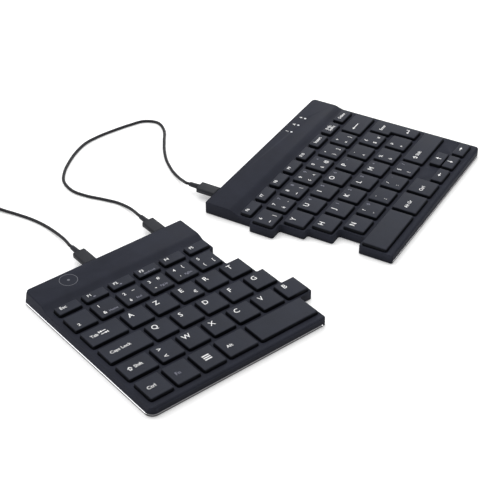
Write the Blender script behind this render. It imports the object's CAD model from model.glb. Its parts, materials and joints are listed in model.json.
"""Looks of an ergonomic split keyboard: finishes, lettering, cords, light and camera.

The named sizes are millimetres, and MM turns them into the frame's metres. Places on a half are given in the
half's own axes: x along its key rows, y = 0 at the front of the number row, x = 0 at that row's left end.
"""
import json
import math

import bmesh
import bpy
from mathutils import Matrix, Vector


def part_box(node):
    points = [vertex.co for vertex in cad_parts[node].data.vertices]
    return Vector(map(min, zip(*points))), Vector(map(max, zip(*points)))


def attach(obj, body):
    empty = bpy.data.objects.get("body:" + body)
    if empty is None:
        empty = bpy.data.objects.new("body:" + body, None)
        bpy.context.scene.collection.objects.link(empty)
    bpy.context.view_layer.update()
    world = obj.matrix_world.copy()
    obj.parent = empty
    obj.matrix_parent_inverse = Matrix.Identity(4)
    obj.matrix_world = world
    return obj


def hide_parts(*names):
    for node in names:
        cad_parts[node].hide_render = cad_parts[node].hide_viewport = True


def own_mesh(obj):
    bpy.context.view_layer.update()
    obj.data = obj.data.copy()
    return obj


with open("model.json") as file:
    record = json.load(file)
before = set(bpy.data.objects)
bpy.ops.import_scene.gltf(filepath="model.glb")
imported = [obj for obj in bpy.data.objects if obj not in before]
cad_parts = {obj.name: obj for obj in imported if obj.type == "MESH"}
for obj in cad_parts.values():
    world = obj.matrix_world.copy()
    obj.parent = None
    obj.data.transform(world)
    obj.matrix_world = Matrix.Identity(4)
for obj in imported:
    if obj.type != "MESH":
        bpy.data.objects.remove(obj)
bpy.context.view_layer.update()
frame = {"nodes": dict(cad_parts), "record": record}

MM = 0.001
NODES = frame["nodes"]
RECORD = frame["record"]
SLOT = {part["node"]: part["material_slot"] for part in RECORD["subparts"]}
BODY = {node: body for body, members in RECORD["behaviour"]["bodies"].items() for node in members}
BASE = "keyboard_base"
scene = bpy.context.scene


# The two halves
SPLAY = math.radians(21.4)
TURN = {"left": -SPLAY / 2, "right": SPLAY / 2}


def half_frame(side):
    """Matrix from a half's own axes to the frame, found from the corner of its number row."""
    spin = Matrix.Rotation(TURN[side], 4, "Z")
    own = [spin.inverted() @ v.co for v in NODES[side + "_number_keys"].data.vertices]
    return spin @ Matrix.Translation((min(p.x for p in own), min(p.y for p in own), 0))


HALF = {side: half_frame(side) for side in TURN}


def side_of(node):
    """The half that a node lies on, by its middle."""
    low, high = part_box(node)
    return "left" if low.x + high.x < 0 else "right"


def own_points(node, side):
    """A node's points in the axes of a half."""
    back = HALF[side].inverted()
    return [back @ v.co for v in NODES[node].data.vertices]


# Camera
CAMERA_PLACE = Vector((-559.4, -453.9, 523.1)) * MM
CAMERA_TARGET = Vector((-25.76, -3.4, 6.8)) * MM
CAMERA_LENS = 96.875


def aim(obj, target):
    obj.rotation_euler = (target - obj.location).to_track_quat("-Z", "Y").to_euler()


def make_camera():
    data = bpy.data.cameras.new("camera")
    data.lens = CAMERA_LENS
    camera = bpy.data.objects.new("camera", data)
    camera.location = CAMERA_PLACE
    aim(camera, CAMERA_TARGET)
    scene.collection.objects.link(camera)
    scene.camera = camera


make_camera()


# Materials: sizes of grain and depths of bump in millimetres
# Most values of a noise lie between NOISE_LOW and NOISE_HIGH
NOISE_LOW, NOISE_HIGH = 0.3, 0.7
MOTTLE_SIZE = 14
ROUGHNESS_SPREAD = 0.04
METAL_LINE = 0.6
METAL_CLOUD = 20
METAL_BUMP = 0.002
# How far up a face looks where the rim's polish starts, is full, is last full and has ended
RIM_BAND = (0.2, 0.35, 0.9, 0.97)
YARNS_PER_MM = 0.35
YARN_BUMP = 0.12
TRACKS_PER_MM = 0.05


def new_material(name, **settings):
    """A material whose constant values are set on the shader's own sockets."""
    mat = bpy.data.materials.new(name)
    mat.use_nodes = True
    shader = mat.node_tree.nodes["Principled BSDF"]
    for socket, value in settings.items():
        shader.inputs[socket.replace("_", " ")].default_value = value
    return mat, mat.node_tree, shader


def noise(tree, size, detail=2.0, stretch=(1, 1, 1)):
    """A noise whose lumps are about size millimetres, in the frame's coordinates."""
    coords = tree.nodes.new("ShaderNodeTexCoord")
    mapping = tree.nodes.new("ShaderNodeMapping")
    mapping.inputs["Scale"].default_value = stretch
    node = tree.nodes.new("ShaderNodeTexNoise")
    node.inputs["Scale"].default_value = 1 / (size * MM)
    node.inputs["Detail"].default_value = detail
    tree.links.new(coords.outputs["Object"], mapping.inputs["Vector"])
    tree.links.new(mapping.outputs["Vector"], node.inputs["Vector"])
    return node.outputs["Fac"]


def ramp(tree, factor, low, high, start=0.0, end=1.0):
    """A colour that goes from low to high as factor goes from start to end."""
    node = tree.nodes.new("ShaderNodeValToRGB")
    node.color_ramp.elements[0].position = start
    node.color_ramp.elements[1].position = end
    node.color_ramp.elements[0].color = (*low, 1)
    node.color_ramp.elements[1].color = (*high, 1)
    tree.links.new(factor, node.inputs["Fac"])
    return node.outputs["Color"]


def spread(tree, factor, low, high):
    """A number that goes from low to high with a noise."""
    node = tree.nodes.new("ShaderNodeMapRange")
    node.inputs["From Min"].default_value = NOISE_LOW
    node.inputs["From Max"].default_value = NOISE_HIGH
    node.inputs["To Min"].default_value = low
    node.inputs["To Max"].default_value = high
    tree.links.new(factor, node.inputs["Value"])
    return node.outputs["Result"]


def multiply(tree, a, b):
    node = tree.nodes.new("ShaderNodeMix")
    node.data_type = "RGBA"
    node.blend_type = "MULTIPLY"
    node.inputs["Factor"].default_value = 1
    tree.links.new(a, node.inputs["A"])
    tree.links.new(b, node.inputs["B"])
    return node.outputs["Result"]


def add_bump(tree, shader, height, depth):
    """Bump of depth millimetres from a height between 0 and 1."""
    node = tree.nodes.new("ShaderNodeBump")
    node.inputs["Strength"].default_value = 1
    node.inputs["Distance"].default_value = depth * MM
    tree.links.new(height, node.inputs["Height"])
    tree.links.new(node.outputs["Normal"], shader.inputs["Normal"])


def facing_up(tree):
    """How far the surface faces up, from the mesh's own normal."""
    geometry = tree.nodes.new("ShaderNodeNewGeometry")
    split = tree.nodes.new("ShaderNodeSeparateXYZ")
    tree.links.new(geometry.outputs["Normal"], split.inputs["Vector"])
    return split.outputs["Z"]


def tint(colour, share):
    return tuple(channel * share for channel in colour)


def moulded_plastic(name, colour, roughness, level, grain=0.35, depth=0.012, mottle=0.12):
    """Spark-eroded plastic: a fine grain, a slight mottle and roughness that varies with them."""
    mat, tree, shader = new_material(name, Specular_IOR_Level=level)
    fine = noise(tree, grain)
    broad = noise(tree, MOTTLE_SIZE, 4)
    mottled = ramp(tree, broad, tint(colour, 1 - mottle), tint(colour, 1 + mottle), NOISE_LOW, NOISE_HIGH)
    rough = spread(tree, broad, roughness - ROUGHNESS_SPREAD, roughness + ROUGHNESS_SPREAD)
    tree.links.new(mottled, shader.inputs["Base Color"])
    tree.links.new(rough, shader.inputs["Roughness"])
    add_bump(tree, shader, fine, depth)
    return mat


def skirted_plastic(name, colour, level, share, steep, flat):
    """Moulded plastic whose walls keep only a share of the colour of its top."""
    mat = moulded_plastic(name, colour, roughness=0.55, level=level, grain=0.3)
    tree = mat.node_tree
    shader = tree.nodes["Principled BSDF"]
    mottled = shader.inputs["Base Color"].links[0].from_socket
    shade = ramp(tree, facing_up(tree), (share, share, share), (1, 1, 1), steep, flat)
    tree.links.new(multiply(tree, mottled, shade), shader.inputs["Base Color"])
    return mat


def roughen_metal(tree, shader, roughness, lines):
    """Lets a metal's roughness and relief follow its fine lines."""
    tree.links.new(spread(tree, lines, roughness - 0.05, roughness + 0.07), shader.inputs["Roughness"])
    add_bump(tree, shader, lines, METAL_BUMP)


def plated_metal(name, colour, roughness):
    """Metal with a fine grain and faint clouding."""
    mat, tree, shader = new_material(name, Metallic=1.0)
    lines = noise(tree, METAL_LINE, 3)
    cloud = noise(tree, METAL_CLOUD, 3)
    clouded = ramp(tree, cloud, tint(colour, 0.93), colour, NOISE_LOW, NOISE_HIGH)
    tree.links.new(clouded, shader.inputs["Base Color"])
    roughen_metal(tree, shader, roughness, lines)
    return mat


def polished_rim(name, colour, dark, roughness):
    """Dark-coated metal whose slanting rim is polished bright."""
    mat, tree, shader = new_material(name, Specular_IOR_Level=0.1)
    lines = noise(tree, METAL_LINE, 3, (1, 14, 1))
    up = facing_up(tree)
    start, full, last, end = RIM_BAND
    for socket, coat, rim in (("Base Color", dark, colour), ("Metallic", (0, 0, 0), (1, 1, 1))):
        band = ramp(tree, up, coat, rim, start, full)
        for place, tone in ((last, rim), (end, coat)):
            band.node.color_ramp.elements.new(place).color = (*tone, 1)
        tree.links.new(band, shader.inputs[socket])
    roughen_metal(tree, shader, roughness, lines)
    return mat


def rubber(name, colour, roughness):
    return moulded_plastic(name, colour, roughness, level=0.25, grain=0.5, depth=0.01, mottle=0.15)


def ink(name, colour):
    """Printed ink with a slightly uneven cover."""
    mat, tree, shader = new_material(name, Roughness=0.55, Specular_IOR_Level=0.2)
    cover = noise(tree, 0.4, 3)
    tree.links.new(ramp(tree, cover, tint(colour, 0.9), colour, 0.3, 0.6), shader.inputs["Base Color"])
    return mat


def woven_strap(name, colour):
    """Woven tape: two crossed wave patterns raise the yarns."""
    mat, tree, shader = new_material(name, Roughness=0.85, Specular_IOR_Level=0.15)
    coords = tree.nodes.new("ShaderNodeTexCoord")
    waves = []
    for direction in ("X", "Z"):
        wave = tree.nodes.new("ShaderNodeTexWave")
        wave.bands_direction = direction
        wave.inputs["Scale"].default_value = YARNS_PER_MM / MM
        tree.links.new(coords.outputs["Object"], wave.inputs["Vector"])
        waves.append(wave.outputs["Color"])
    weave = multiply(tree, *waves)
    tree.links.new(ramp(tree, weave, tint(colour, 0.6), tint(colour, 1.5)), shader.inputs["Base Color"])
    add_bump(tree, shader, weave, YARN_BUMP)
    return mat


def printed_film(name, colour):
    """Membrane film with silver tracks."""
    mat, tree, shader = new_material(name, Specular_IOR_Level=0.5, Roughness=0.3)
    coords = tree.nodes.new("ShaderNodeTexCoord")
    tracks = tree.nodes.new("ShaderNodeTexWave")
    tracks.inputs["Scale"].default_value = TRACKS_PER_MM / MM
    tracks.inputs["Distortion"].default_value = 2
    tree.links.new(coords.outputs["Object"], tracks.inputs["Vector"])
    film = ramp(tree, tracks.outputs["Fac"], colour, tint(colour, 0.55), 0.85, 0.9)
    tree.links.new(film, shader.inputs["Base Color"])
    return mat


KEY_TOP = (0.0264, 0.0292, 0.0408)
CASE = (0.0248, 0.0269, 0.0380)
METAL = (0.86, 0.86, 0.88)
METAL_COAT = (0.035, 0.035, 0.04)
CORD_BLACK = (0.0162, 0.0166, 0.0197)
PLUG_BLACK = (0.0231, 0.0246, 0.0300)
FRAME_BLACK = (0.012, 0.012, 0.013)
FOOT_BLACK = (0.015, 0.015, 0.016)
STRAP_BLACK = (0.02, 0.02, 0.022)
SILICONE = (0.55, 0.53, 0.48)
FILM = (0.45, 0.5, 0.55)
BOARD_GREEN = (0.01, 0.09, 0.04)
PORT_GREY = (0.40, 0.40, 0.42)
SCREW_GREY = (0.5, 0.5, 0.52)
MILKY = (0.75, 0.77, 0.8)
MATERIALS = {
    "key_plastic": skirted_plastic("key_plastic", KEY_TOP, level=0.105, share=0.22, steep=0.3, flat=0.8),
    "case_plastic": skirted_plastic("case_plastic", CASE, level=0.05, share=0.6, steep=0.02, flat=0.12),
    "base_metal": polished_rim("base_metal", METAL, METAL_COAT, roughness=0.22),
    "frame_plastic": moulded_plastic("frame_plastic", FRAME_BLACK, roughness=0.6, level=0.3),
    "dome_rubber": rubber("dome_rubber", SILICONE, roughness=0.5),
    "circuit_film": printed_film("circuit_film", FILM),
    "board": moulded_plastic("board", BOARD_GREEN, roughness=0.35, level=0.5, grain=0.8, depth=0.01,
                             mottle=0.2),
    "port_metal": plated_metal("port_metal", PORT_GREY, roughness=0.34),
    "screw_steel": plated_metal("screw_steel", SCREW_GREY, roughness=0.35),
    "foot_rubber": rubber("foot_rubber", FOOT_BLACK, roughness=0.75),
    "lens_plastic": moulded_plastic("lens_plastic", CASE, roughness=0.45, level=0.06, grain=0.3, depth=0.004),
    "light_guide": moulded_plastic("light_guide", MILKY, roughness=0.4, level=0.5, grain=0.3, depth=0.003,
                                   mottle=0.04),
    "cord_jacket": rubber("cord_jacket", CORD_BLACK, roughness=0.5),
    "plug_plastic": moulded_plastic("plug_plastic", PLUG_BLACK, roughness=0.55, level=0.18, grain=0.4),
    "tie_strap": woven_strap("tie_strap", STRAP_BLACK),
}
INKS = {
    "white": ink("white_ink", (0.92, 0.92, 0.92)),
    "blue": ink("blue_ink", (0.20, 0.205, 0.26)),
    "grey": ink("grey_ink", (0.15, 0.155, 0.18)),
}


def add_piece(name, data, body, slot, *nodes):
    """Links a piece that rides on a body, takes a slot's finish and stands for the given nodes."""
    piece = bpy.data.objects.new(name, data)
    scene.collection.objects.link(piece)
    if not data.materials:
        data.materials.append(MATERIALS[slot])
    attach(piece, body)
    if nodes:
        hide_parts(*nodes)
    return piece


# Cords, along the routes of the solids
CORD_D = 2.2
LEAD = 1.5 * CORD_D
CORD_Z = CORD_D / 2
ROUTE_STEPS = 8
OUTWARDS = (0, 0.5, 1)
INWARDS = (1, 0.5, 0)
LINK_ROUTE = [
    (-38, 92, 2.8), (-36.5, 104, CORD_Z), (-40, 116, CORD_Z), (-44.5, 128, CORD_Z), (-46.5, 140.5, CORD_Z),
    (-42.5, 153, CORD_Z), (-33.5, 162, CORD_Z), (-22, 169, CORD_Z), (-10, 174.5, CORD_Z), (3, 178, CORD_Z),
    (16, 177.5, CORD_Z), (29, 175, CORD_Z), (42, 171.5, CORD_Z), (53, 167, CORD_Z), (58, 157.5, CORD_Z),
    (53, 146.5, CORD_Z), (43, 137, CORD_Z), (33.5, 128, CORD_Z), (24.5, 117.5, CORD_Z), (17.5, 106, CORD_Z),
    (12, 94.5, 2.4),
]
HOST_ROUTE = [
    (-93, 99, 4.5), (-89.5, 109.5, 2.2), (-87.5, 122, CORD_Z), (-88, 135, CORD_Z), (-90.5, 148, CORD_Z),
    (-94, 161, 1.4),
]
COIL_CENTRE = (-114, 182)
COIL_D = 26.4
COIL_GAP = 0.5
COIL_TURNS = 16.375
COIL_LAYERS = 4
COIL_RINGS = 48
COIL_PITCH = CORD_D + COIL_GAP
TIE_T = 0.6
TIE_W = 6
COIL_Z = TIE_T + COIL_GAP / 2 + CORD_D / 2
LAYER_TURNS = (COIL_TURNS - (COIL_LAYERS - 1) / 2) / COIL_LAYERS
COIL_OUT = COIL_D / 2 + COIL_PITCH * LAYER_TURNS / 2
COIL_IN = COIL_OUT - COIL_PITCH * LAYER_TURNS
CLIMB_BULGE = COIL_PITCH / 4
TAIL_FLAT = 10
TAIL_FALL = 22
TAIL_STEPS = 16
TAIL_Z = 3.8


def smooth_line(points, steps=ROUTE_STEPS):
    """Points along the smooth curve through the given ones, none below a cord that lies on the table."""
    line = []
    for i in range(len(points) - 1):
        a, b, c = points[max(i - 1, 0)], points[i], points[i + 1]
        d = points[min(i + 2, len(points) - 1)]
        for k in range(steps):
            t = k / steps
            square = (2 * a - 5 * b + 4 * c - d) * t * t
            line.append(0.5 * (2 * b + (c - a) * t + square + (3 * b - a - 3 * c + d) * t ** 3))
    for place in line:
        place.z = max(place.z, CORD_Z)
    return line + [points[-1]]


def plug_lead(node, side, shares):
    """The straight run out of a plug's strain relief, at the given shares of its length, in millimetres."""
    own = own_points(node, side)
    xs, ys, zs = zip(*own)
    middle = ((min(xs) + max(xs)) / 2, (min(zs) + max(zs)) / 2)
    return [HALF[side] @ Vector((middle[0], max(ys) + f * LEAD * MM, middle[1])) / MM for f in shares]


def coil_point(turns):
    """A point of the stored coil: layers that spiral in and out and climb where the spiral reverses."""
    layer = int(turns / (LAYER_TURNS + 0.5))
    done = turns - layer * (LAYER_TURNS + 0.5)
    climb = max(0, done - LAYER_TURNS) * 2
    share = min(1, done / LAYER_TURNS)
    bulge = CLIMB_BULGE * math.sin(math.pi * climb)
    span = (COIL_OUT - COIL_IN) * share + bulge
    radius = COIL_OUT - span if layer % 2 == 0 else COIL_IN + span
    angle = 2 * math.pi * turns
    return Vector((COIL_CENTRE[0] + radius * math.cos(angle), COIL_CENTRE[1] + radius * math.sin(angle),
                   COIL_Z + COIL_PITCH * (layer + climb)))


def coil_line():
    """The coil and the tail that leaves its top layer along the tangent and comes down to the plug."""
    just = 0.0001
    last = coil_point(COIL_TURNS - just)
    angle = 2 * math.pi * COIL_TURNS
    way = Vector((-math.sin(angle), math.cos(angle), 0))
    line = [coil_point(i / COIL_RINGS) for i in range(int(COIL_TURNS * COIL_RINGS) + 1)]
    line.append(last + way * TAIL_FLAT / 2)
    for i in range(TAIL_STEPS + 1):
        f = i / TAIL_STEPS
        drop = (last.z - TAIL_Z) * (1 - math.cos(math.pi * f)) / 2
        line.append(last + way * (TAIL_FLAT + TAIL_FALL * f) - Vector((0, 0, drop)))
    line.append(line[-1] + way * CORD_D)
    return line


def cord_curve(name, line):
    """A round cord as one open spline along a line in millimetres."""
    data = bpy.data.curves.new(name, "CURVE")
    data.dimensions = "3D"
    data.bevel_depth = CORD_D / 2 * MM
    data.bevel_resolution = 3
    data.use_fill_caps = True
    spline = data.splines.new("POLY")
    spline.points.add(len(line) - 1)
    for point, place in zip(spline.points, line):
        point.co = (*(place * MM), 1)
    return data


link_line = smooth_line(plug_lead("link_plug_left", "left", OUTWARDS) + [Vector(p) for p in LINK_ROUTE]
                        + plug_lead("link_plug_right", "right", INWARDS))
coil_start = Vector((COIL_CENTRE[0] + COIL_OUT, COIL_CENTRE[1] - CORD_D, COIL_Z))
host_line = smooth_line(plug_lead("host_plug", "left", OUTWARDS) + [Vector(p) for p in HOST_ROUTE]
                        + [coil_start - Vector((0, 2 * LEAD * f, 0)) for f in INWARDS]) + coil_line()
link_cord = add_piece("link_cord_jacket", cord_curve("link_cord_jacket", link_line), BASE, "cord_jacket",
                      "link_cord")
host_cord = add_piece("host_cord_jacket", cord_curve("host_cord_jacket", host_line), BASE, "cord_jacket",
                      "host_cord", "host_cord_coil")


# Moulded edges: widths of the rounds, and the turns from which an edge counts as one
SHARP = math.radians(35)
FLAT = math.radians(0.5)
CAP_TURN = math.radians(20)
EDGE_TURN = math.radians(25)
RIM_TURN = math.radians(60)
WELD = 1e-6


def edge_angle(edge):
    return edge.calc_face_angle(0) if len(edge.link_faces) == 2 else 0


def refined(node, edge_width, segments=3, reshape=None):
    """A copy of a node with rounded edges, or chamfers where segments is 1.

    edge_width gives the width of each edge's round in millimetres, and reshape changes the mesh first.
    """
    bm = bmesh.new()
    bm.from_mesh(NODES[node].data)
    bmesh.ops.remove_doubles(bm, verts=bm.verts, dist=WELD)
    bmesh.ops.dissolve_limit(bm, angle_limit=FLAT, verts=bm.verts, edges=bm.edges)
    if reshape:
        reshape(bm)
    bm.normal_update()
    weights = bm.edges.layers.float.new("bevel_weight_edge")
    widths = {edge: edge_width(edge) for edge in bm.edges}
    widest = max(widths.values())
    for edge, width in widths.items():
        edge[weights] = width / widest
        edge.smooth = width > 0 or edge_angle(edge) < SHARP
    for face in bm.faces:
        face.smooth = segments > 1
    data = bpy.data.meshes.new(node + "_moulded")
    bm.to_mesh(data)
    bm.free()
    piece = add_piece(node + "_moulded", data, BODY[node], SLOT[node], node)
    bevel = piece.modifiers.new("round", "BEVEL")
    bevel.limit_method = "WEIGHT"
    bevel.width = widest * MM
    bevel.segments = segments
    bevel.use_clamp_overlap = False
    bevel.harden_normals = segments > 1
    return piece


CAP_ROUND = 0.25
CAP_EDGE_Z = 8.5


def cap_edge(edge):
    """Rounds the edges round a cap's top."""
    high = min(v.co.z for v in edge.verts) > CAP_EDGE_Z * MM
    return CAP_ROUND if high and edge_angle(edge) > CAP_TURN else 0


# The outer wall leans in by WALL_LEAN per millimetre of height, and the bar's rear edge has a REAR_ROUND
WALL_LEAN = 1.5 / 7.4
REAR_CORNER = 4
REAR_ROUND = 1
CORNER_STEPS = 6
OUTER_SIGN = {"left": -1, "right": 1}
LEVEL_UP = 0.999


def round_rear_corner(side):
    """A change that makes the outer rear corner of a case an arc that leans with the outer wall."""
    out = OUTER_SIGN[side]
    own = own_points(side + "_top_case", side)
    top, rear = max(p.z for p in own), max(p.y for p in own)
    wall = max(out * p.x for p in own if p.z > top - WELD)

    def axis(z):
        """The middle of the arc at a height."""
        reach = wall + WALL_LEAN * (top - z) - REAR_CORNER * MM
        return Vector((out * reach, rear - REAR_CORNER * MM, z))

    def wall_at_corner(face):
        arms = [v.co - axis(v.co.z) for v in face.verts]
        return abs(face.normal.z) < LEVEL_UP and any(out * arm.x > 0 and arm.y > 0 for arm in arms)

    def reshape(bm):
        bm.transform(HALF[side].inverted())
        bm.normal_update()
        for i in range(1, CORNER_STEPS):
            angle = math.pi / 2 * i / CORNER_STEPS
            ray = Vector((out * math.cos(angle), math.sin(angle), 0))
            faces = [face for face in bm.faces if wall_at_corner(face)]
            edges = dict.fromkeys(edge for face in faces for edge in face.edges)
            verts = dict.fromkeys(vert for face in faces for vert in face.verts)
            bmesh.ops.bisect_plane(bm, geom=[*faces, *edges, *verts], dist=WELD, plane_co=axis(0),
                                   plane_no=(axis(top) - axis(0)).cross(ray).normalized())
        for vert in bm.verts:
            arm = vert.co - axis(vert.co.z)
            if out * arm.x > 0 and arm.y > 0:
                rise = max(0, vert.co.z - top + REAR_ROUND * MM) / MM
                inset = REAR_ROUND - math.sqrt(max(0, REAR_ROUND ** 2 - rise ** 2))
                reach = (REAR_CORNER - inset * (arm.y / arm.length) ** 2) * MM
                if arm.length > reach:
                    vert.co = axis(vert.co.z) + arm * reach / arm.length
        bm.transform(HALF[side])

    return reshape


# OUTER_X parts the outer wall from the rest of a half, and only a wall over OPENING_H high is an outer one
CASE_EDGE_Z = 5.7
BAR_EDGE_Z = 7.5
OUTER_X = {"left": -1, "right": 160}
WALL_UP = 0.6
OPENING_H = 3
OPENING_ROUND = 0.12
OUTER_ROUND = 0.35
BAR_ROUND = 0.9
STEP_ROUND = 0.45


def case_edge(side):
    """Rounds a deck's outer edges, more at the bar's end up to its corner, and breaks the key openings."""
    back, out = HALF[side].inverted(), OUTER_SIGN[side]
    corner_y = max(p.y for p in own_points(side + "_top_case", side)) / MM - REAR_CORNER

    def width(edge):
        middle = (edge.verts[0].co + edge.verts[1].co) / 2
        if edge_angle(edge) < EDGE_TURN or middle.z < CASE_EDGE_Z * MM:
            return 0
        walls = [[v.co.z for v in f.verts] for f in edge.link_faces if abs(f.normal.z) < WALL_UP]
        if max((max(heights) - min(heights) for heights in walls), default=0) < OPENING_H * MM:
            return OPENING_ROUND
        x, y, _ = (back @ middle) / MM
        if out * (x - OUTER_X[side]) <= 0:
            return STEP_ROUND
        if y > corner_y:
            return 0
        return BAR_ROUND if middle.z > BAR_EDGE_Z * MM else OUTER_ROUND

    return width


def every_edge(width):
    """Rounds every edge that turns sharply by the same width."""
    return lambda edge: width if edge_angle(edge) > EDGE_TURN else 0


RIM_WIDTH = 0.42
RIM_Z = 1.5
RIM_L = 0.3


def plate_edge(edge):
    """Chamfers the upper rim of a base plate, and leaves its foot and the screw holes sharp."""
    rim = edge_angle(edge) > RIM_TURN and edge.calc_length() > RIM_L * MM
    return RIM_WIDTH if rim and min(v.co.z for v in edge.verts) > RIM_Z * MM else 0


PLUG_ROUND = 0.35
FOOT_ROUND = 0.12
KEYS = [node for node in NODES if node.endswith(("_key", "_keys"))]
for node in KEYS:
    refined(node, cap_edge)
for side in TURN:
    refined(side + "_top_case", case_edge(side), reshape=round_rear_corner(side))
    refined(side + "_base_plate", plate_edge, segments=1)
PLUGS = ["link_plug_left", "link_plug_right", "host_plug", "computer_plug"]
plug_pieces = {node: refined(node, every_edge(PLUG_ROUND)) for node in PLUGS}
refined("rubber_feet", every_edge(FOOT_ROUND))
for node, obj in NODES.items():
    if not obj.hide_render:
        obj.data.materials.clear()
        obj.data.materials.append(MATERIALS[SLOT[node]])


def islands(node):
    """The separate solids of a node, as lists of points and faces."""
    bm = bmesh.new()
    bm.from_mesh(NODES[node].data)
    bmesh.ops.remove_doubles(bm, verts=bm.verts, dist=WELD)
    found, seen = [], set()
    for first in bm.verts:
        if first in seen:
            continue
        group, queue = [], [first]
        seen.add(first)
        while queue:
            vert = queue.pop()
            group.append(vert)
            for edge in vert.link_edges:
                other = edge.other_vert(vert)
                if other not in seen:
                    seen.add(other)
                    queue.append(other)
        place = {vert: i for i, vert in enumerate(group)}
        around = dict.fromkeys(face for vert in group for face in vert.link_faces)
        faces = [[place[vert] for vert in face.verts] for face in around]
        found.append(([v.co.copy() for v in group], faces))
    bm.free()
    return found


def key_boxes(node):
    """Each cap of a key node as its lowest and highest corner in its half's axes, from left to right."""
    back = HALF[side_of(node)].inverted()
    boxes = []
    for points, _ in islands(node):
        xs, ys, zs = zip(*(back @ p for p in points))
        boxes.append((Vector((min(xs), min(ys), min(zs))), Vector((max(xs), max(ys), max(zs)))))
    return sorted(boxes, key=lambda box: box[0].x)


KEY_BOXES = {node: key_boxes(node) for node in KEYS}


def make_domes():
    for side in TURN:
        node = side + "_rubber_domes"
        back = HALF[side].inverted()
        groups = {key: ([], []) for key in KEYS if side_of(key) == side}
        for points, faces in islands(node):
            own = back @ (sum(points, Vector()) / len(points))
            key = next(k for k in groups for low, high in KEY_BOXES[k]
                       if low.x < own.x < high.x and low.y < own.y < high.y)
            verts, polys = groups[key]
            polys += [[i + len(verts) for i in face] for face in faces]
            verts += points
        for key, (verts, polys) in groups.items():
            data = bpy.data.meshes.new(key + "_domes")
            data.from_pydata(verts, [], polys)
            for poly in data.polygons:
                poly.use_smooth = True
            data.set_sharp_from_angle(angle=SHARP)
            piece = add_piece(key + "_domes", data, BASE, SLOT[node], node)
            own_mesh(piece)


make_domes()


# The strap that ties the coil
STRAP_TURN = math.radians(250)
STRAP_BEND = 2.0
STRAP_EDGE = 0.2
STRAP_ARC = 6


def strap_loop(width, height, radius):
    """A rectangle with round corners, as points (along, up) about its middle."""
    loop = []
    for quarter in range(4):
        sx = 1 if quarter in (0, 3) else -1
        sy = 1 if quarter < 2 else -1
        for i in range(STRAP_ARC + 1):
            a = math.pi / 2 * (quarter + i / STRAP_ARC)
            loop.append((sx * (width / 2 - radius) + radius * math.cos(a),
                         sy * (height / 2 - radius) + radius * math.sin(a)))
    return loop


def make_strap():
    """A woven strap that closes round the coil."""
    height = COIL_Z + COIL_PITCH * (COIL_LAYERS - 1) + CORD_D / 2 + COIL_GAP / 2 + TIE_T
    inner = COIL_IN - CORD_D / 2 - CLIMB_BULGE - COIL_GAP
    outer = COIL_OUT + CORD_D / 2 + CLIMB_BULGE + COIL_GAP
    place = (Matrix.Translation((*COIL_CENTRE, height / 2)) @ Matrix.Rotation(STRAP_TURN, 4, "Z")
             @ Matrix.Translation(((inner + outer) / 2, 0, 0)))
    bm = bmesh.new()
    wide = outer - inner + 2 * TIE_T
    loops = [strap_loop(wide - 2 * skin, height - 2 * skin, STRAP_BEND - skin) for skin in (0, TIE_T)]
    half_w = TIE_W / 2
    ring = []
    for outside, inside in zip(*loops):
        section = [(outside, half_w), (outside, -half_w), (inside, -half_w), (inside, half_w)]
        ring.append([bm.verts.new(place @ Vector((p[0], y, p[1])) * MM) for p, y in section])
    for i, verts in enumerate(ring):
        after = ring[(i + 1) % len(ring)]
        for k in range(4):
            bm.faces.new([verts[k], verts[(k + 1) % 4], after[(k + 1) % 4], after[k]])
    bmesh.ops.recalc_face_normals(bm, faces=bm.faces)
    for face in bm.faces:
        face.smooth = True
    data = bpy.data.meshes.new("cord_strap")
    bm.to_mesh(data)
    bm.free()
    strap = add_piece("cord_strap", data, BASE, "tie_strap", "cord_tie")
    bevel = strap.modifiers.new("round", "BEVEL")
    bevel.width = STRAP_EDGE * MM
    bevel.segments = 2
    bevel.harden_normals = True
    return strap


strap = make_strap()


# Lettering
SUNK = 0.01
PROUD = 0.015
CAP_HEIGHT = 0.682
BOLD = 0.035
# Where a mark's middle lies from the left and the rear side of its cap, its height and its ink
PLACES = {
    "letter": (5.35, 4.65, 3.65, "white"),
    "upper": (4.7, 3.9, 2.5, "white"),
    "lower": (4.7, 11.1, 2.5, "white"),
    "sign_upper": (4.8, 4.0, 3.4, "white"),
    "sign_lower": (4.9, 11.1, 3.4, "white"),
    "squared": (5.0, 11.0, 4.2, "white"),
    "right_upper": (11.2, 4.0, 2.4, "white"),
    "right_lower": (12.1, 10.6, 2.5, "white"),
    "fn_upper": (12.3, 3.6, 2.4, "blue"),
    "fn_lower": (10.6, 11.5, 1.7, "blue"),
    "escape": (5.6, 2.8, 2.4, "white"),
    "function": (4.6, 3.1, 2.2, "white"),
    "fn_sign": (7.0, 5.6, 1.6, "blue"),
    "fn_word": (8.8, 6.2, 1.3, "blue"),
    "insert_word": (8.2, 3.6, 2.5, "white"),
    "delete_word": (7.8, 3.6, 2.1, "white"),
    "first_line": (8.0, 2.5, 2.1, "white"),
    "second_line": (8.0, 5.3, 2.1, "white"),
    "tab_word": (6.1, 7.0, 2.3, "white"),
    "tab_sign": (12.5, 7.2, 4.2, "white"),
    "caps_word": (12.0, 7.6, 2.3, "white"),
    "shift_sign": (5.7, 7.2, 3.4, "white"),
    "shift_word": (11.6, 7.2, 2.3, "white"),
    "ctrl": (6.4, 8.8, 2.5, "white"),
    "alt": (5.8, 8.8, 2.4, "white"),
    "alt_gr": (8.2, 8.3, 2.4, "white"),
    "fn": (5.9, 9.0, 2.6, "blue"),
    "menu_sign": (8.2, 8.6, 4.4, "white"),
    "rub_sign": (8.6, 7.5, 2.4, "white"),
    "enter_word": (7.4, 7.1, 2.3, "white"),
    "enter_sign": (10.6, 25.5, 3.0, "white"),
    "arrow_sign": (8.3, 3.6, 2.4, "white"),
}


def letters(text):
    return [{"letter": one} for one in text]


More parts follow.
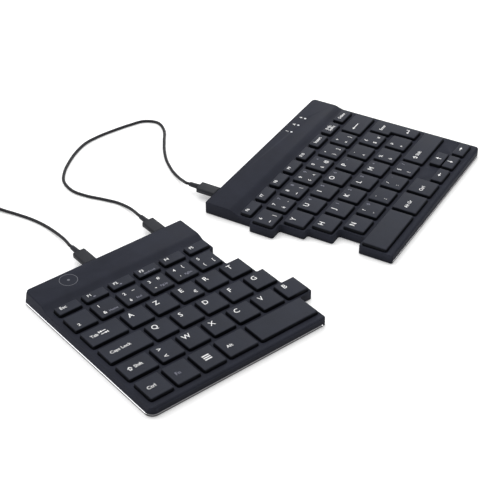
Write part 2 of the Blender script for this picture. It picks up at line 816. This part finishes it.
def functions(first, last):
    return [{"function": f"F{i}"} for i in range(first, last + 1)]


LEGENDS = {
    "escape_key": [{"escape": "Esc"}],
    "left_function_keys": [{"function": "F1", "fn_sign": "softer"}, {"function": "F2", "fn_sign": "louder"},
                           {"function": "F3", "fn_word": "Scroll Lock"}] + functions(4, 5),
    "left_number_keys": [
        {"squared": "²"}, {"upper": "1", "lower": "&", "fn_lower": "Home"},
        {"upper": "2", "lower": "é", "right_upper": "~", "fn_lower": "End"},
        {"upper": "3", "lower": "\"", "right_upper": "#", "fn_lower": "PgUp"},
        {"upper": "4", "lower": "'", "right_upper": "{", "fn_lower": "PgDn"},
        {"upper": "5", "lower": "(", "right_lower": "["}],
    "tab_key": [{"tab_word": "Tab", "tab_sign": "tab_arrows"}],
    "left_upper_keys": letters("AZ") + [{"letter": "E", "right_lower": "€"}] + letters("RT"),
    "caps_lock_key": [{"caps_word": "Caps Lock"}],
    "left_home_keys": letters("QSDFG"),
    "left_shift_key": [{"shift_sign": "shift_arrow", "shift_word": "Shift"}],
    "left_lower_keys": [{"sign_upper": ">", "sign_lower": "<"}] + letters("WXCVB"),
    "left_ctrl_key": [{"ctrl": "Ctrl"}],
    "fn_key": [{"fn": "Fn"}],
    "menu_key": [{"menu_sign": "menu_bars"}],
    "left_alt_key": [{"alt": "Alt"}],
    "right_function_keys": functions(6, 10) + [{"insert_word": "Insert"},
                                               {"first_line": "PrtSc", "second_line": "SysRq"}],
    "delete_key": [{"delete_word": "Delete"}],
    "right_number_keys": [
        {"upper": "6", "lower": "dash", "right_lower": "|"},
        {"upper": "7", "lower": "è", "right_lower": "`", "fn_upper": "7"},
        {"upper": "8", "lower": "dash", "right_lower": "\\", "fn_upper": "8"},
        {"upper": "9", "lower": "ç", "right_lower": "^", "fn_upper": "9"},
        {"upper": "0", "lower": "à", "right_lower": "@", "fn_upper": "*"},
        {"upper": "°", "lower": ")", "right_lower": "]"},
        {"upper": "+", "lower": "=", "right_lower": "}"}],
    "backspace_key": [{"rub_sign": "long_arrow"}],
    "right_upper_keys": [
        {"letter": "Y"}, {"letter": "U", "fn_upper": "4"}, {"letter": "I", "fn_upper": "5"},
        {"letter": "O", "fn_upper": "6"}, {"letter": "P", "fn_upper": "-"}, {"upper": "¨", "lower": "^"},
        {"upper": "£", "lower": "$", "right_lower": "¤"}],
    "right_home_keys": [
        {"letter": "H"}, {"letter": "J", "fn_upper": "1"}, {"letter": "K", "fn_upper": "2"},
        {"letter": "L", "fn_upper": "3"}, {"letter": "M", "fn_upper": "+"}, {"upper": "%", "lower": "ù"},
        {"upper": "µ", "lower": "*"}],
    "right_lower_keys": [
        {"letter": "N"}, {"upper": "?", "lower": ",", "fn_upper": "0"}, {"upper": ".", "lower": ";"},
        {"upper": "/", "lower": ":", "fn_upper": "."}, {"upper": "§", "lower": "!", "fn_upper": "/"}],
    "right_shift_key": [{"shift_sign": "shift_arrow", "shift_word": "Shift"}],
    "alt_gr_key": [{"alt_gr": "Alt Gr"}],
    "right_ctrl_key": [{"ctrl": "Ctrl"}],
    "enter_key": [{"enter_word": "Enter", "enter_sign": "bent_arrow"}],
    "left_arrow_key": [{"arrow_sign": "arrow_left"}],
    "up_arrow_key": [{"arrow_sign": "arrow_up"}],
    "down_arrow_key": [{"arrow_sign": "arrow_down"}],
    "right_arrow_key": [{"arrow_sign": "arrow_right"}],
}


# Drawn signs: closed outlines about a sign's middle, in millimetres
STROKE = 0.55


def arrow_outline(length, head=1.9, wide=2.2, shaft=STROKE):
    """An arrow that points to the right."""
    tip, neck = length / 2, length / 2 - head
    return [(-tip, -shaft / 2), (neck, -shaft / 2), (neck, -wide / 2), (tip, 0), (neck, wide / 2),
            (neck, shaft / 2), (-tip, shaft / 2)]


def bar_outline(wide, high):
    return [(-wide / 2, -high / 2), (wide / 2, -high / 2), (wide / 2, high / 2), (-wide / 2, high / 2)]


def shift_outline(wide, high):
    """A broad arrow that points up."""
    return [(-wide / 4, -high / 2), (wide / 4, -high / 2), (wide / 4, 0), (wide / 2, 0), (0, high / 2),
            (-wide / 2, 0), (-wide / 4, 0)]


def bent_outline(wide, high, head=1.7, across=2.0):
    """A line that comes down on the right and ends in an arrow to the left."""
    left, right, base, half = -wide / 2, wide / 2, -high / 2 + across / 2, STROKE / 2
    return [(left, base), (left + head, base - across / 2), (left + head, base - half), (right, base - half),
            (right, high / 2), (right - STROKE, high / 2), (right - STROKE, base + half),
            (left + head, base + half), (left + head, base + across / 2)]


def circle_outline(radius, count=48):
    return [(radius * math.cos(2 * math.pi * i / count), radius * math.sin(2 * math.pi * i / count))
            for i in range(count)]


def turned(outline, degrees):
    c, s = math.cos(math.radians(degrees)), math.sin(math.radians(degrees))
    return [(x * c - y * s, x * s + y * c) for x, y in outline]


def moved(outline, dx, dy):
    return [(x + dx, y + dy) for x, y in outline]


def tab_outlines(length=4.6, apart=2.3, gap=0.25):
    """Two arrows, one above the other, that point to a bar at their own end."""
    lower = [moved(arrow_outline(length, 1.6, 1.9), 0, -apart / 2),
             moved(bar_outline(STROKE, 1.9), length / 2 + gap, -apart / 2)]
    return lower + [turned(outline, 180) for outline in lower]


LENS_R = 5.95
LENS_RING = 0.35
SIGNS = {
    "arrow_right": [arrow_outline(4.2)],
    "arrow_up": [turned(arrow_outline(4.2), 90)],
    "arrow_left": [turned(arrow_outline(4.2), 180)],
    "arrow_down": [turned(arrow_outline(4.2), 270)],
    "long_arrow": [turned(arrow_outline(8.8), 180)],
    "bent_arrow": [bent_outline(5, 3.2)],
    "tab_arrows": tab_outlines(),
    "shift_arrow": [shift_outline(3.6, 3.4), moved(shift_outline(1.9, 1.7), 0, -0.1)],
    "menu_bars": [moved(bar_outline(5, 0.9), 0, dy) for dy in (-1.7, 0, 1.7)],
    "dash": [bar_outline(2.3, 0.5)],
    "softer": [turned(arrow_outline(2, 1.2, 1.5), 180)],
    "louder": [arrow_outline(2, 1.2, 1.5)],
    "lens_ring": [circle_outline(LENS_R), circle_outline(LENS_R - LENS_RING)],
    "lens_dot": [circle_outline(0.9, 24)],
    "short_arrow": [turned(arrow_outline(2.4, 1.3, 1.9, 0.7), 270)],
}
# Marks on the bar: the node that carries them, their half, their place there, their height and their ink
BAR_MARKS = [
    ("lens_ring", "status_lens", "left", (23.8, 44.8), 0, "grey"),
    ("lens_dot", "status_lens", "left", (23.8, 44.8), 0, "grey"),
    ("1", "right_top_case", "right", (111.0, 48.1), 2.4, "white"),
    ("A", "right_top_case", "right", (121.9, 48.1), 2.3, "white"),
    ("short_arrow", "right_top_case", "right", (132.9, 48.1), 0, "white"),
]


def text_curve(text, height):
    """A text whose capitals are height millimetres tall."""
    data = bpy.data.curves.new("mark", "FONT")
    data.body = text
    data.size = height / CAP_HEIGHT * MM
    data.offset = BOLD * MM
    data.resolution_u = 3
    return data


def sign_curve(outlines):
    """A filled shape from closed outlines; an outline inside another is a hole."""
    data = bpy.data.curves.new("mark", "CURVE")
    data.dimensions = "2D"
    data.fill_mode = "BOTH"
    for outline in outlines:
        spline = data.splines.new("POLY")
        spline.points.add(len(outline) - 1)
        for point, (x, y) in zip(spline.points, outline):
            point.co = (x * MM, y * MM, 0, 1)
        spline.use_cyclic_u = True
    return data


def mark_object(text, height):
    """A thin mark: a drawn sign where text names one, and otherwise the text itself."""
    data = sign_curve(SIGNS[text]) if text in SIGNS else text_curve(text, height)
    data.extrude = (SUNK + PROUD) / 2 * MM
    obj = bpy.data.objects.new("mark", data)
    scene.collection.objects.link(obj)
    return obj


def all_marks():
    """Every mark as its object, the node that carries it, its ink and its place in the frame."""
    marks = []
    for node, legends in LEGENDS.items():
        half = HALF[side_of(node)]
        for (low, high), legend in zip(KEY_BOXES[node], legends):
            for style, text in legend.items():
                right, down, height, colour = PLACES[style]
                place = half @ Matrix.Translation((low.x + right * MM, high.y - down * MM, high.z))
                marks.append((mark_object(text, height), node, colour, place))
    for text, node, side, (x, y), height, colour in BAR_MARKS:
        place = HALF[side] @ Matrix.Translation((x * MM, y * MM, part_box(node)[1].z))
        marks.append((mark_object(text, height), node, colour, place))
    return marks


def print_marks():
    """One mesh of printed marks for each node and ink."""
    marks = all_marks()
    bpy.context.view_layer.update()
    graph = bpy.context.evaluated_depsgraph_get()
    prints = {}
    lift = (PROUD - SUNK) / 2 * MM
    for obj, node, colour, place in marks:
        if (node, colour) not in prints:
            prints[node, colour] = bmesh.new()
        evaluated = obj.evaluated_get(graph)
        mesh = evaluated.to_mesh()
        xs, ys, _ = zip(*(v.co for v in mesh.vertices))
        centre = Vector(((min(xs) + max(xs)) / 2, (min(ys) + max(ys)) / 2, -lift))
        mesh.transform(place @ Matrix.Translation(-centre))
        prints[node, colour].from_mesh(mesh)
        evaluated.to_mesh_clear()
    for obj, *_ in marks:
        bpy.data.curves.remove(obj.data)
    for (node, colour), bm in prints.items():
        data = bpy.data.meshes.new(f"{node}_{colour}_print")
        bmesh.ops.remove_doubles(bm, verts=bm.verts, dist=WELD)
        bm.to_mesh(data)
        bm.free()
        data.materials.append(INKS[colour])
        add_piece(data.name, data, BODY[node], SLOT[node])


print_marks()


# Floor, light and picture, in metres and watts
FLOOR_SIZE = 12
FLOOR_COLOUR = (0.9, 0.9, 0.9)
FLOOR_GLOW = 0.32
WORLD_GREY = 0.22
# Place, side and power of each square light
SOFTBOXES = {
    "overhead": ((0.15, 0.45, 1.5), 1.7, 21.5),
    "left_rear": ((-0.60, 0.88, 0.62), 0.8, 3),
    "right_low": ((0.95, -0.57, 0.70), 0.8, 4.8),
    "right_rear": ((1.25, 0.80, 0.55), 0.8, 5),
}


def make_floor():
    data = bpy.data.meshes.new("floor")
    half = FLOOR_SIZE / 2
    corners = [(-half, -half, 0), (half, -half, 0), (half, half, 0), (-half, half, 0)]
    data.from_pydata(corners, [], [(0, 1, 2, 3)])
    mat, tree, shader = new_material("floor", Roughness=0.8, Specular_IOR_Level=0.1,
                                     Emission_Color=(1, 1, 1, 1), Emission_Strength=FLOOR_GLOW)
    soft = noise(tree, 300)
    tree.links.new(ramp(tree, soft, tint(FLOOR_COLOUR, 0.99), FLOOR_COLOUR), shader.inputs["Base Color"])
    data.materials.append(mat)
    floor = bpy.data.objects.new("floor", data)
    scene.collection.objects.link(floor)


def make_lights():
    world = bpy.data.worlds.new("studio")
    world.use_nodes = True
    sky = world.node_tree.nodes["Background"]
    sky.inputs["Color"].default_value = (WORLD_GREY, WORLD_GREY, WORLD_GREY, 1)
    scene.world = world
    for name, (place, size, power) in SOFTBOXES.items():
        data = bpy.data.lights.new(name, "AREA")
        data.size = size
        data.energy = power
        light = bpy.data.objects.new(name, data)
        light.location = place
        aim(light, Vector((0, 0, 0)))
        scene.collection.objects.link(light)


make_floor()
make_lights()
scene.view_settings.view_transform = "Standard"
